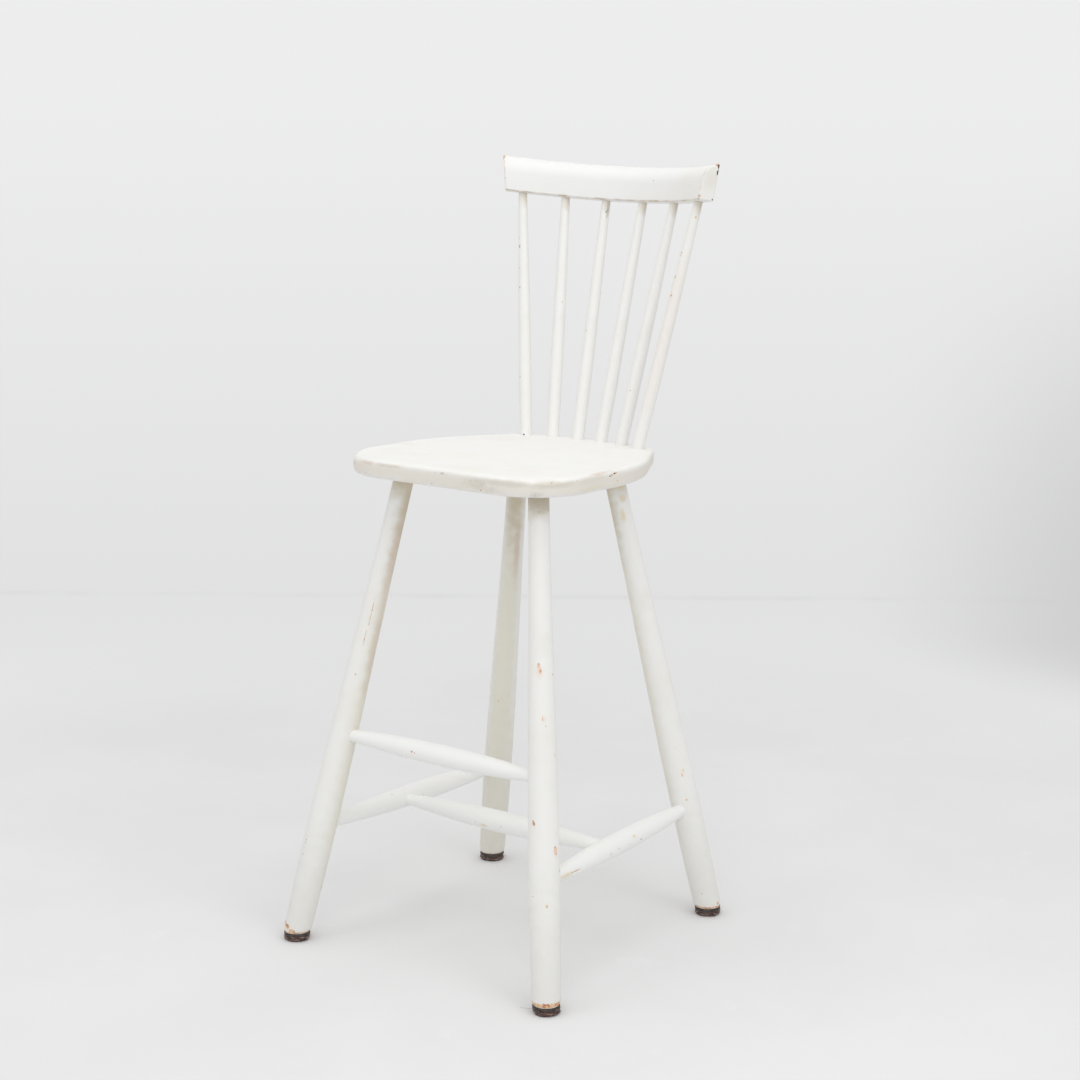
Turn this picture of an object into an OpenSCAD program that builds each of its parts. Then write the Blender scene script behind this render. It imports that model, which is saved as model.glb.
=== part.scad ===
// Child's high chair with a spindle back.
//
// A plank seat stands on four splayed, turned legs. A foot rail joins the front legs, and an
// H of stretchers braces all four. Six tapered spindles rise from the seat to a bent crest rail.
// Every turned piece ends in a round tenon that is glued into a blind socket. Each foot stands on
// a nailed glide with a felt pad.
//
// Origin: on the floor, midway across and midway front to back. +Y is towards the back of the
// chair, +X towards the sitter's left, and +Z up. Lengths are in millimetres, angles in degrees.

/* [Seat] */
// Height of the seat's upper face above the floor, straight over the origin
seat_height = 528.5; // [505:0.5:550]
// Slope of the seat down towards the back
seat_slope = 2; // [1:0.5:3]
// Thickness of the seat plank
seat_thick = 19.5; // [19:0.5:24]
// Width of the seat across its widest part
seat_w = 284; // [276:1:300]
// Distance of the straight front edge in front of the origin
seat_front = 157; // [148:1:162]
// Distance of the corner where the sides begin to close in, behind the origin
seat_waist = 17; // [10:1:25]
// Distance of the seat's rear corners behind the origin
seat_rear = 121; // [118:1:124]
// Width between the rear corners, before they are rounded
seat_rear_w = 171; // [166:1:180]
// How far the bowed rear edge stands out behind its corners
seat_rear_bow = 19; // [16:1:24]
// Radius of the front corners
seat_front_r = 68; // [35:1:80]
// Radius of the seat's upper edge
seat_top_round = 4.5; // [3:0.5:6]
// Height of the rounding under the seat's edge
seat_under_round = 6.5; // [4:0.5:8]

/* [Legs] */
// Distance of the front feet from the middle, across the chair
front_foot_x = 168; // [160:1:175]
// Distance of the front feet in front of the origin
front_foot_y = 191; // [185:1:195]
// Distance of the rear feet from the middle, across the chair
rear_foot_x = 152; // [145:1:160]
// Distance of the rear feet behind the origin
rear_foot_y = 137; // [130:1:145]
// Distance of the front legs from the middle, where they enter the seat
front_top_x = 87; // [80:1:95]
// Distance of the front legs in front of the origin, where they enter the seat
front_top_y = 94; // [88:1:100]
// Distance of the rear legs from the middle, where they enter the seat
rear_top_x = 62.5; // [56:0.5:68]
// Distance of the rear legs behind the origin, where they enter the seat
rear_top_y = 73; // [66:1:78]
// Leg diameter where it enters the seat
leg_top_d = 21.7; // [20:0.1:24]
// Largest leg diameter, low on the leg
leg_max_d = 32; // [29:0.5:34]
// Leg diameter at the floor end
leg_foot_d = 29.5; // [28:0.5:32]
// How deep a leg's tenon goes into the seat, measured upwards
leg_socket = 12.5; // [10:0.5:13]

/* [Stretchers] */
// Height of the foot rail's ends above the floor
rail_z = 228.5; // [215:0.5:240]
// Diameter of the foot rail at its ends
rail_end_d = 13.5; // [12:0.5:15]
// Diameter of the foot rail at its middle
rail_mid_d = 22.5; // [20:0.5:25]
// Height of the side stretchers at the front legs
side_front_z = 128; // [120:1:136]
// Height of the side stretchers at the rear legs
side_rear_z = 124; // [116:1:132]
// Diameter of the lower stretchers at their ends
low_end_d = 14; // [12:0.5:15]
// Diameter of the lower stretchers at their middles
low_mid_d = 23.5; // [22:0.5:26]
// Where the cross stretcher meets the side stretchers, as a share of their length from the front
cross_share = 0.43; // [0.4:0.01:0.5]
// Diameter of the cross stretcher's tenons
cross_tenon_d = 12; // [11:0.5:13]

/* [Back] */
// Number of spindles
spindle_count = 6; // [5:1:7]
// Spindle diameter at the seat
spindle_seat_d = 13; // [12:0.1:14]
// Largest spindle diameter, a little above the seat
spindle_max_d = 14; // [13:0.1:15]
// Spindle diameter under the crest rail
spindle_top_d = 9.5; // [9:0.1:11]
// Radius of the arc that the spindles stand on in the seat
spindle_arc_r = 175; // [165:1:190]
// Distance of the middle of that arc behind the origin
spindle_arc_y = 120; // [118:1:122]
// Angle between neighbouring spindles on the seat's arc
spindle_step = 10.2; // [9.5:0.1:10.5]
// Angle between neighbouring spindles on the crest rail's arc
crest_step = 12.8; // [12:0.1:13]

/* [Crest rail] */
// Height of the crest rail's underside above the floor, at its middle
crest_z = 782; // [770:1:800]
// Distance of the crest rail's middle behind the origin, at its underside
crest_y = 186; // [180:1:192]
// Height of the crest rail
crest_h = 40; // [38:1:45]
// Thickness of the crest rail
crest_thick = 17; // [16:0.5:20]
// Radius of the rounding that brings the front face back to the top edge
crest_face_r = 20; // [17:1:22]
// Radius of the bend, seen from above
crest_bend_r = 220; // [200:5:240]
// Half the angle that the bent rail spans along its lower edge
crest_half_angle = 37.2; // [36.5:0.1:40]
// Backward lean of the rail
crest_lean = 12; // [9:0.5:14]
// Outward slope of the rail's cut ends
crest_end_slope = 10; // [0:1:15]

/* [Glides] */
// Height of the glide and its felt together
glide_h = 9.5; // [6:0.5:11]
// Height of the felt alone
felt_h = 6; // [3:0.5:7]
// Diameter of the glide
glide_d = 28.5; // [26:0.5:29.5]
// Diameter of the felt
felt_d = 29; // [25:0.5:29.5]

/* [Hidden] */
SIDES = ["left", "right"];
$fn = 64;

paint = [0.93, 0.92, 0.89];
glide_colour = [0.24, 0.21, 0.19];
felt_colour = [0.34, 0.22, 0.16];
steel = [0.62, 0.61, 0.58];

waist_r = 155;         // radius of the blend where the sides begin to close in
rear_corner_r = 21;    // radius of the seat's rear corners
rear_bow_r = 257;      // radius of the bowed rear edge
under_front = 4;       // how far the rounding under the edge runs in, at the front
under_rear = 8;        // and at the back
edge_steps = 5;        // steps round the seat's upper and under edges
leg_swell = 0.22;      // height of the leg's thickest place, as a share of its length
profile_steps = 24;    // steps along a turned piece
tenon_past = 5;        // how far a stretcher's tenon runs past the middle of its leg
cross_past = 1;        // the same, for the cross stretcher in a side stretcher
neck = 18;             // straight length of a stretcher's end, from the leg's middle
cross_neck = 12.5;     // the same, for the cross stretcher
mouth = 30;            // how far a socket's cutter reaches out of the wood
seat_tenon = 12;       // length of a spindle inside the seat
crest_tenon = 15;      // length of a spindle inside the crest rail
spindle_neck = 3;      // straight length of a spindle outside each socket
spindle_swell = 0.2;   // height of a spindle's thickest place, as a share of its length
crest_edge_r = 2.2;    // small roundings on the crest rail's edges
crest_spare = 5;       // extra angle of bent rail that the sloping end cuts take off
nail_d = 2.6;
nail_len = 20;
nail_head_d = 7;
nail_head_h = 1.4;

// ---- Points and lines ----

function unit(v) = v / norm(v);
function mix(a, b, t) = a + (b - a) * t;
function smooth(t) = t * t * (3 - 2 * t);
function side_sign(side) = side == "left" ? 1 : -1;

// Height of the seat's upper face at a distance y behind the origin
function seat_z(y) = seat_height - y * tan(seat_slope);

// Middle of a foot, on top of its glide
function foot(end, s) = end == "front"
    ? [s * front_foot_x, -front_foot_y, glide_h]
    : [s * rear_foot_x, rear_foot_y, glide_h];

// Middle of a leg in the seat's underside
function leg_top(end, s) =
    let (x = end == "front" ? front_top_x : rear_top_x)
    let (y = end == "front" ? -front_top_y : rear_top_y)
    [s * x, y, seat_z(y) - seat_thick];

// Middle of a leg at height z
function on_leg(end, s, z) =
    let (a = foot(end, s), b = leg_top(end, s))
    mix(a, b, (z - a[2]) / (b[2] - a[2]));

function side_front(s) = on_leg("front", s, side_front_z);
function side_rear(s) = on_leg("rear", s, side_rear_z);
function cross_end(s) = mix(side_front(s), side_rear(s), cross_share);

// Lower and upper ends of spindle i, in the seat's upper face and the rail's underside
function spindle_turn(i) = i - (spindle_count - 1) / 2;
function spindle_foot(i) =
    let (a = spindle_turn(i) * spindle_step)
    let (y = spindle_arc_y - spindle_arc_r * (1 - cos(a)))
    [spindle_arc_r * sin(a), y, seat_z(y)];
function spindle_head(i) =
    let (a = spindle_turn(i) * crest_step)
    let (drop = crest_bend_r * (1 - cos(a)))
    [crest_bend_r * sin(a), crest_y - drop * cos(crest_lean), crest_z + drop * sin(crest_lean)];

// Puts its children at p with their Z axis towards q
module along(p, q) {
    d = q - p;
    translate(p)
        rotate([0, acos(d[2] / norm(d)), atan2(d[1], d[0])])
            children();
}

// A round socket on the line from p to q, that starts `past` beyond p and opens towards q
module socket(p, q, d, past) {
    along(p, q)
        translate([0, 0, -past])
            cylinder(d = d, h = past + mouth);
}

// ---- Seat ----

// Steps round a corner: each is [centre, radius, outward direction]
function corner(before, at, after, r, steps) =
    let (a = unit(before - at), b = unit(after - at))
    let (half = acos(a * b) / 2)
    let (centre = at + unit(a + b) * r / sin(half))
    let (from = unit(at + a * r / tan(half) - centre), to = unit(at + b * r / tan(half) - centre))
    let (sweep = 180 - 2 * half)
    [for (k = [0:steps])
        let (t = k / steps)
        [centre, r, (from * sin((1 - t) * sweep) + to * sin(t * sweep)) / sin(sweep)]];

// The seat's outline, anticlockwise from its front right corner
seat_corners = [
    [-seat_w / 2, -seat_front, seat_front_r, 14],
    [seat_w / 2, -seat_front, seat_front_r, 14],
    [seat_w / 2, seat_waist, waist_r, 8],
    [seat_rear_w / 2, seat_rear, rear_corner_r, 8],
    [0, seat_rear + seat_rear_bow, rear_bow_r, 12],
    [-seat_rear_w / 2, seat_rear, rear_corner_r, 8],
    [-seat_w / 2, seat_waist, waist_r, 8]
];
function flat(v) = [v[0], v[1]];
seat_outline = [
    for (i = [0:len(seat_corners) - 1])
        let (n = len(seat_corners), c = seat_corners[i])
        each corner(flat(seat_corners[(i + n - 1) % n]), flat(c),
                    flat(seat_corners[(i + 1) % n]), c[2], c[3])
];

// How far the rounding under the edge runs in, for a place y behind the origin
function under_in(y) = mix(under_front, under_rear, (y + seat_front) / (seat_front + seat_rear));

// One ring of the seat's surface: the outline moved in, at height z under or over the middle
function seat_ring(under, over, z) = [
    for (e = seat_outline)
        let (y = e[0][1] + e[1] * e[2][1])
        let (p = e[0] + (e[1] - under * under_in(y) - over) * e[2])
        [p[0], p[1], z]
];

module seat_plank() {
    lower = [for (k = [0:edge_steps]) let (a = 90 * k / edge_steps)
        seat_ring(1 - sin(a), 0, seat_under_round * (1 - cos(a)) - seat_thick)];
    upper = [for (k = [0:edge_steps]) let (a = 90 * k / edge_steps)
        seat_ring(0, seat_top_round * (1 - cos(a)), seat_top_round * (sin(a) - 1))];
    rings = concat(lower, upper);
    n = len(seat_outline);
    last = (len(rings) - 1) * n;
    sides = [for (r = [0:len(rings) - 2], i = [0:n - 1])
        let (a = r * n + i, b = r * n + (i + 1) % n)
        each [[a, a + n, b], [b, a + n, b + n]]];
    polyhedron(
        points = [for (ring = rings) each ring],
        faces = concat([[for (i = [0:n - 1]) i]], sides, [[for (i = [n - 1:-1:0]) last + i]])
    );
}

module seat() {
    color(paint)
        difference() {
            translate([0, 0, seat_height])
                rotate([-seat_slope, 0, 0])
                    seat_plank();
            for (end = ["front", "rear"], s = [-1, 1])
                socket(leg_top(end, s), foot(end, s), leg_top_d, leg_tenon(end, s));
            for (i = [0:spindle_count - 1])
                socket(spindle_foot(i), spindle_head(i), spindle_seat_d, seat_tenon);
        }
}

// ---- Legs ----

// Length of a leg's tenon along its own slant
function leg_tenon(end, s) =
    let (d = unit(leg_top(end, s) - foot(end, s)))
    leg_socket / d[2];

// Leg diameter at a share t of the way up
function leg_d(t) = t < leg_swell
    ? mix(leg_max_d, leg_foot_d, pow((leg_swell - t) / leg_swell, 2))
    : mix(leg_top_d, leg_max_d, smooth((1 - t) / (1 - leg_swell)));

module leg(end, s) {
    a = foot(end, s);
    b = leg_top(end, s);
    len = norm(b - a);
    below = leg_foot_d;
    color(paint)
        difference() {
            along(a, b)
                rotate([0, 0, 180])
                    rotate_extrude()
                        polygon(concat(
                            [[0, -below], [leg_foot_d / 2, -below]],
                            [for (k = [0:profile_steps]) let (t = k / profile_steps)
                                [leg_d(t) / 2, t * len]],
                            [[leg_top_d / 2, len + leg_tenon(end, s)], [0, len + leg_tenon(end, s)]]
                        ));
            translate([a[0], a[1], glide_h - 2 * below])
                cylinder(d = 4 * leg_max_d, h = 2 * below);
            if (end == "front") {
                socket(on_leg("front", s, rail_z), on_leg("front", -s, rail_z),
                       rail_end_d, tenon_past);
                socket(side_front(s), side_rear(s), low_end_d, tenon_past);
            } else {
                socket(side_rear(s), side_front(s), low_end_d, tenon_past);
            }
            nail_shank(end, s);
        }
}

// ---- Stretchers ----

// A turned bar between the middles of two pieces, swelling from its necks to its middle
module turned_bar(p, q, end_d, mid_d, straight, past) {
    len = norm(q - p);
    along(p, q)
        rotate_extrude()
            polygon(concat(
                [[0, -past], [end_d / 2, -past]],
                [for (k = [0:profile_steps]) let (t = k / profile_steps)
                    [mix(end_d, mid_d, 1 - pow(2 * t - 1, 2)) / 2, mix(straight, len - straight, t)]],
                [[end_d / 2, len + past], [0, len + past]]
            ));
}

module foot_rail() {
    color(paint)
        turned_bar(on_leg("front", -1, rail_z), on_leg("front", 1, rail_z),
                   rail_end_d, rail_mid_d, neck, tenon_past);
}

module side_stretcher(s) {
    color(paint)
        difference() {
            turned_bar(side_front(s), side_rear(s), low_end_d, low_mid_d, neck, tenon_past);
            socket(cross_end(s), cross_end(-s), cross_tenon_d, cross_past);
        }
}

module cross_stretcher() {
    color(paint)
        turned_bar(cross_end(-1), cross_end(1), cross_tenon_d, low_mid_d, cross_neck, cross_past);
}

// ---- Back ----

// Spindle diameter at a share t of the way up
function spindle_d(t) = t < spindle_swell
    ? mix(spindle_seat_d, spindle_max_d, smooth(t / spindle_swell))
    : mix(spindle_max_d, spindle_top_d, pow((t - spindle_swell) / (1 - spindle_swell), 1.7));

module spindle(i) {
    p = spindle_foot(i);
    q = spindle_head(i);
    len = norm(q - p);
    color(paint)
        along(p, q)
            rotate_extrude()
                polygon(concat(
                    [[0, -seat_tenon], [spindle_seat_d / 2, -seat_tenon]],
                    [for (k = [0:profile_steps]) let (t = k / profile_steps)
                        [spindle_d(t) / 2, mix(spindle_neck, len - spindle_neck, t)]],
                    [[spindle_top_d / 2, len + crest_tenon], [0, len + crest_tenon]]
                ));
}

function arc(centre, r, from, to, steps) =
    [for (k = [0:steps]) let (a = mix(from, to, k / steps))
        centre + r * [cos(a), sin(a)]];

// Section of the crest rail: X runs back through its thickness from its middle, Y up its height
crest_section = let (t = crest_thick / 2, e = crest_edge_r, f = crest_face_r)
    concat(
        arc([e - t, e], e, 270, 180, 4),
        arc([f - t, crest_h - f], f, 180, acos((2 * t - e - f) / f), 14),
        arc([t - e, crest_h - e], e, 90, 0, 4),
        arc([t - e, e], e, 0, -90, 4)
    );

// Everything past one cut end of the rail, where s is the side
module past_crest_end(s) {
    big = 4 * crest_h;
    rotate([0, 0, -s * crest_half_angle])
        translate([0, crest_bend_r, 0])
            rotate([0, s * crest_end_slope, 0])
                translate([s * big / 2, 0, 0])
                    cube(big, center = true);
}

module crest_rail() {
    half = crest_half_angle + crest_spare;
    color(paint)
        difference() {
            translate([0, crest_y, crest_z])
                rotate([-crest_lean, 0, 0])
                    translate([0, -crest_bend_r, 0])
                        difference() {
                            rotate([0, 0, 90 - half])
                                rotate_extrude(angle = 2 * half, $fn = 180)
                                    translate([crest_bend_r, 0])
                                        polygon(crest_section);
                            past_crest_end(-1);
                            past_crest_end(1);
                        }
            for (i = [0:spindle_count - 1])
                socket(spindle_head(i), spindle_foot(i), spindle_top_d, crest_tenon);
        }
}

// ---- Glides ----

module nail_shank(end, s) {
    translate(foot(end, s) + [0, 0, nail_head_h - glide_h + felt_h])
        cylinder(d = nail_d, h = nail_len, $fn = 32);
}

module nail_head(end, s) {
    translate(foot(end, s) + [0, 0, felt_h - glide_h])
        cylinder(d = nail_head_d, h = nail_head_h, $fn = 32);
}

module glide(end, s) {
    color(glide_colour)
        difference() {
            translate(foot(end, s) + [0, 0, felt_h - glide_h])
                cylinder(d = glide_d, h = glide_h - felt_h);
            nail_shank(end, s);
            nail_head(end, s);
        }
}

module felt(end, s) {
    color(felt_colour)
        translate(foot(end, s) - [0, 0, glide_h])
            cylinder(d = felt_d, h = felt_h);
}

module glide_nails() {
    color(steel)
        for (end = ["front", "rear"], s = [-1, 1]) {
            nail_head(end, s);
            nail_shank(end, s);
        }
}

seat();
for (end = ["front", "rear"], side = SIDES) {
    leg(end, side_sign(side));
    glide(end, side_sign(side));
    felt(end, side_sign(side));
}
for (side = SIDES)
    side_stretcher(side_sign(side));
foot_rail();
cross_stretcher();
for (i = [1:spindle_count])
    spindle(i - 1);
crest_rail();
glide_nails();
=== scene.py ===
"""A child's spindle-back high chair in worn white paint, on a plain pale studio floor."""
import math
import random
from dataclasses import dataclass
from math import radians

import bmesh
import bpy
from mathutils import Matrix, Vector, noise


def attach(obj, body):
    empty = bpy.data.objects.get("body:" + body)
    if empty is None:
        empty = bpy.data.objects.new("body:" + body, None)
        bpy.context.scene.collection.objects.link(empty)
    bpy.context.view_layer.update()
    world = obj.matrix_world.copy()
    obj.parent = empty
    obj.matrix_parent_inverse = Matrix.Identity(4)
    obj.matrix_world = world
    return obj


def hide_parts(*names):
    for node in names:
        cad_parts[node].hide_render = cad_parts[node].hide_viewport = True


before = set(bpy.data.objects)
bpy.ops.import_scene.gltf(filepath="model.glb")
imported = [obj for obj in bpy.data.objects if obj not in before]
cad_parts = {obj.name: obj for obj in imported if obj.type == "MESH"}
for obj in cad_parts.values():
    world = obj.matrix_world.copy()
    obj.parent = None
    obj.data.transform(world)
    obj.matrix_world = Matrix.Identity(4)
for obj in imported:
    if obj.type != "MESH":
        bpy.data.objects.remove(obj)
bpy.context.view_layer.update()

# ---- Sizes of the chair, in metres and degrees ----

MM = 0.001
FRONT = Vector((0, -1, 0))
UP = Vector((0, 0, 1))
SIDES = {"left": 1, "right": -1}
CORNERS = [(end, side) for end in ("front", "rear") for side in SIDES]

seat_height = 0.5285      # upper face over the origin
seat_slope = 2            # down towards the back
seat_thick = 0.0195
seat_half_w = 0.142
seat_front = 0.157
seat_front_r = 0.068
seat_waist = 0.017
seat_rear = 0.121
seat_rear_half_w = 0.0855
seat_rear_bow = 0.019
seat_waist_r = 0.155      # roundings of its outline behind the front corners
seat_rear_r = 0.021
seat_bow_r = 0.257
seat_top_round = 0.0045
seat_under_round = 0.0065
corner_wear = 0.0032      # how far the front corners' upper edge is worn down
corner_wear_w = 0.018     # how far in from the corner and down from the top the wear reaches
corner_wear_h = 0.010
under_in_front = 0.004    # how far the underside's rounding runs in
under_in_rear = 0.008

glide_h = 0.0095
felt_h = 0.006
glide_r = 0.01425
felt_r = 0.0145
glide_bevel = 0.0009
nail_r = 0.0013
nail_len = 0.020
nail_head_r = 0.0035
nail_head_h = 0.0014

foot_places = {"front": (0.168, -0.191), "rear": (0.152, 0.137)}
leg_tops = {"front": (0.087, -0.094), "rear": (0.0625, 0.073)}
leg_top_d = 0.0217
leg_max_d = 0.032
leg_foot_d = 0.0295
leg_swell = 0.22          # height of the thickest place, as a share of the length
leg_socket = 0.0125
leg_spare = 0.020         # length below the glide's top that is cut off slanting
foot_rim_r = 0.0006

rail_z = 0.2285
side_front_z = 0.128
side_rear_z = 0.124
cross_share = 0.43
rail_end_d, rail_mid_d = 0.0135, 0.0225
low_end_d, low_mid_d = 0.014, 0.0235
cross_tenon_d = 0.012
foot_taper_h = 0.006      # the worn end of a foot draws in over this height
foot_taper = 0.075
tenon_past = 0.005
cross_past = 0.001
neck = 0.018
cross_neck = 0.0125

spindles = range(1, 7)
spindle_arc_r = 0.175
spindle_arc_y = 0.120
spindle_step = 10.2
spindle_seat_d = 0.013
spindle_max_d = 0.014
spindle_top_d = 0.0095
spindle_swell = 0.2
spindle_neck = 0.003
seat_tenon = 0.012
crest_tenon = 0.015

crest_z = 0.782
crest_y = 0.186
crest_h = 0.040
crest_thick = 0.017
crest_face_r = 0.020
crest_bend_r = 0.220
crest_half_angle = 37.2
crest_lean = 12
crest_end_slope = 10
crest_step = 12.8
crest_edge_r = 0.0022
crest_end_round = 0.0018
crest_end_past = 5        # degrees that the rail is made too long at each end before it is cut

SHARP_ANGLE = radians(38)


def mix(a, b, t):
    return a + (b - a) * t


def smooth(t):
    return t * t * (3 - 2 * t)


def seat_z(y):
    """Height of the seat's upper face at a distance y behind the origin."""
    return seat_height - y * math.tan(radians(seat_slope))


def foot(end, side):
    """Middle of a foot, on top of its glide."""
    x, y = foot_places[end]
    return Vector((SIDES[side] * x, y, glide_h))


def leg_top(end, side):
    """Middle of a leg in the seat's underside."""
    x, y = leg_tops[end]
    return Vector((SIDES[side] * x, y, seat_z(y) - seat_thick))


def on_leg(end, side, z):
    """Middle of a leg at height z."""
    low = foot(end, side)
    high = leg_top(end, side)
    return low.lerp(high, (z - low.z) / (high.z - low.z))


def cross_end(side):
    """Middle of a side stretcher where the cross stretcher meets it."""
    return on_leg("front", side, side_front_z).lerp(on_leg("rear", side, side_rear_z), cross_share)


def spindle_foot(i):
    """Middle of spindle i in the seat's upper face."""
    turn = radians((i - 3.5) * spindle_step)
    y = spindle_arc_y - spindle_arc_r * (1 - math.cos(turn))
    return Vector((spindle_arc_r * math.sin(turn), y, seat_z(y)))


def spindle_head(i):
    """Middle of spindle i in the crest rail's underside."""
    turn = radians((i - 3.5) * crest_step)
    drop = crest_bend_r * (1 - math.cos(turn))
    lean = radians(crest_lean)
    return Vector((crest_bend_r * math.sin(turn), crest_y - drop * math.cos(lean),
                   crest_z + drop * math.sin(lean)))


def along(start, end, facing):
    """The place of a piece whose Z runs from start to end and whose X looks towards facing."""
    z = (end - start).normalized()
    y = z.cross(facing).normalized()
    x = y.cross(z)
    return Matrix.Translation(start) @ Matrix((x, y, z)).transposed().to_4x4()


# ---- Marks of wear ----
# A mark is an egg-shaped patch: its middle, half sizes and turn, and how deep it is pressed in.

class Mark:
    def __init__(self, middle, size, turn=(0, 0, 0), depth=0.0):
        self.middle = Vector(middle)
        self.size = Vector(size)
        self.turn = turn
        self.depth = depth


def round_mark(radius_at, height, facing, wide, tall, depth=0.15):
    """A mark on a turned piece, in millimetres up its length and degrees round from its face."""
    h = height * MM
    r = radius_at(h)
    a = radians(facing)
    middle = (r * math.cos(a), r * math.sin(a), h)
    return Mark(middle, (wide / 2 * MM, wide / 2 * MM, tall / 2 * MM), depth=depth * MM)


def round_marks(radius_at, rows):
    return [round_mark(radius_at, *row) for row in rows]


def flat_mark(x, y, z, long, deep, tall, turn=0, depth=0.15):
    """A mark on the seat or the crest rail, in millimetres from the chair's origin."""
    return Mark((x * MM, y * MM, z * MM), (long / 2 * MM, deep / 2 * MM, tall / 2 * MM),
                (0, 0, radians(turn)), depth * MM)


def flat_marks(*rows):
    return [flat_mark(*row) for row in rows]


# ---- Nodes ----

NO_MARK = 9.0     # a distance that no mark reaches


def put(tree, kind, values=None, **settings):
    """Adds a node. A value is a number, a colour or the output that feeds that input."""
    made = tree.nodes.new("ShaderNode" + kind)
    for key, value in settings.items():
        setattr(made, key, value)
    for key, value in (values or {}).items():
        if isinstance(value, bpy.types.NodeSocket):
            tree.links.new(value, made.inputs[key])
        else:
            made.inputs[key].default_value = value
    return made


def after(socket, kind, values, **settings):
    """Adds a node in the tree of an output that feeds it."""
    return put(socket.id_data, kind, values, **settings)


def maths(operation, a, b=0.0, clamp=False):
    socket = a if isinstance(a, bpy.types.NodeSocket) else b
    return after(socket, "Math", {0: a, 1: b}, operation=operation, use_clamp=clamp).outputs[0]


def plus(a, b):
    return maths("ADD", a, b)


def minus(a, b):
    return maths("SUBTRACT", a, b)


def times(a, b):
    return maths("MULTIPLY", a, b)


def length_of(vector):
    return after(vector, "VectorMath", {0: vector}, operation="LENGTH").outputs["Value"]


def height_of(coords):
    return after(coords, "SeparateXYZ", {0: coords}).outputs[2]


def object_coords(tree):
    return put(tree, "TexCoord").outputs["Object"]


def mapped(coords, kind="POINT", **values):
    """Coordinates after a move, a turn and a stretch, or with them undone for the kind "TEXTURE"."""
    return after(coords, "Mapping", {"Vector": coords, **values}, vector_type=kind).outputs[0]


def step_from(value, low, high, to_low=0.0, to_high=1.0):
    """Runs smoothly from one value to another as the input goes from low to high."""
    return after(value, "MapRange", {0: value, 1: low, 2: high, 3: to_low, 4: to_high},
                 interpolation_type="SMOOTHSTEP").outputs[0]


def cloud(coords, scale, detail=3.0, rough=0.55):
    return after(coords, "TexNoise", {"Vector": coords, "Scale": scale, "Detail": detail,
                                      "Roughness": rough}).outputs["Fac"]


def blend(share, a, b):
    """Mixes colour a into colour b by the share of b."""
    return after(share, "Mix", {0: share, 6: a, 7: b}, data_type="RGBA").outputs[2]


def nearest_mark(coords, marks):
    """How far a place is from the nearest mark's middle, where 1 is the mark's edge."""
    nearest = NO_MARK
    for mark in marks:
        at = mapped(coords, "TEXTURE", Location=mark.middle, Rotation=mark.turn, Scale=mark.size)
        far = length_of(at)
        nearest = far if nearest == NO_MARK else maths("MINIMUM", nearest, far)
    return nearest


def new_material(name):
    material = bpy.data.materials.new(name)
    material.use_nodes = True
    material.node_tree.nodes.clear()
    return material, material.node_tree


def surface(tree, shader):
    put(tree, "OutputMaterial", {"Surface": shader.outputs[0]})


def coated(tree, colour, relief, strength, distance, values):
    """Ends a material: its colour, its fine relief and its other values."""
    bump = put(tree, "Bump", {"Height": relief, "Strength": strength, "Distance": distance})
    values = {"Base Color": colour, "Normal": bump.outputs[0], **values}
    surface(tree, put(tree, "BsdfPrincipled", values))


def place_coords(tree, place):
    """Object coordinates turned into the piece's own, with Z along its length."""
    return mapped(object_coords(tree), "TEXTURE", Location=place.to_translation(),
                  Rotation=place.to_euler())


# Colours of the paint and of what is on or under it
PAINT = (0.875, 0.872, 0.852, 1)
# a lighter white laid over the stretchers as painted light
BAR_PAINTED_LIGHT = (0.905, 0.905, 0.89, 1)
COOL_PAINT = (0.85, 0.852, 0.848, 1)
YELLOWED = (0.84, 0.815, 0.72, 1)
PINKISH = (0.87, 0.83, 0.805, 1)
GREENISH = (0.80, 0.80, 0.745, 1)
WARM_SHADE = (0.79, 0.745, 0.665, 1)
# painted warm shade and yellowing for the legs' inner sides
INNER_SHADE_AND_YELLOWING = (0.80, 0.775, 0.67, 1)
LOW_SHADE = (0.75, 0.725, 0.63, 1)
DUSTY = (0.775, 0.77, 0.73, 1)
OCHRE = (0.78, 0.635, 0.38, 1)
SALMON = (0.87, 0.54, 0.42, 1)
RUBBED_PINK = (0.83, 0.60, 0.47, 1)
RUBBED_TAN = (0.63, 0.50, 0.40, 1)
RUBBED_BROWN = (0.66, 0.50, 0.41, 1)
RUBBED_WOOD = (0.84, 0.66, 0.49, 1)
RUBBED_RIM = (0.62, 0.59, 0.51, 1)
# dirt and the seat's painted shade on the leg tops
LEG_TOP_DIRT_AND_SHADE = (0.61, 0.54, 0.405, 1)
# a band of painted shade just under the seat
LEG_TOP_SHADE_RING = (0.47, 0.40, 0.33, 1)
# dirt and painted shade on the spindles' tops under the crest rail
SPINDLE_TOP_DIRT_AND_SHADE = (0.55, 0.46, 0.35, 1)
# painted shade on the rounding of the seat's front-left corner
SEAT_CORNER_SHADE = (0.69, 0.65, 0.575, 1)
# painted shade on the seat's left side behind the front corner
SEAT_SIDE_SHADE = (0.74, 0.69, 0.60, 1)
# painted shade on the seat's underside and lower front edge
SEAT_UNDER_SHADE = (0.62, 0.58, 0.50, 1)
EDGE_LINE = (0.50, 0.37, 0.235, 1)
GRIME = (0.36, 0.335, 0.27, 1)
OLIVE_GRIME = (0.34, 0.34, 0.25, 1)
DARK_GRIME = (0.25, 0.24, 0.16, 1)
RUSTY = (0.24, 0.15, 0.09, 1)
BARE_WOOD = (0.74, 0.50, 0.31, 1)
PALE_WOOD = (0.82, 0.64, 0.45, 1)
DARK_WOOD = (0.13, 0.06, 0.032, 1)
OLD_RED = (0.43, 0.145, 0.06, 1)


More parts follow.
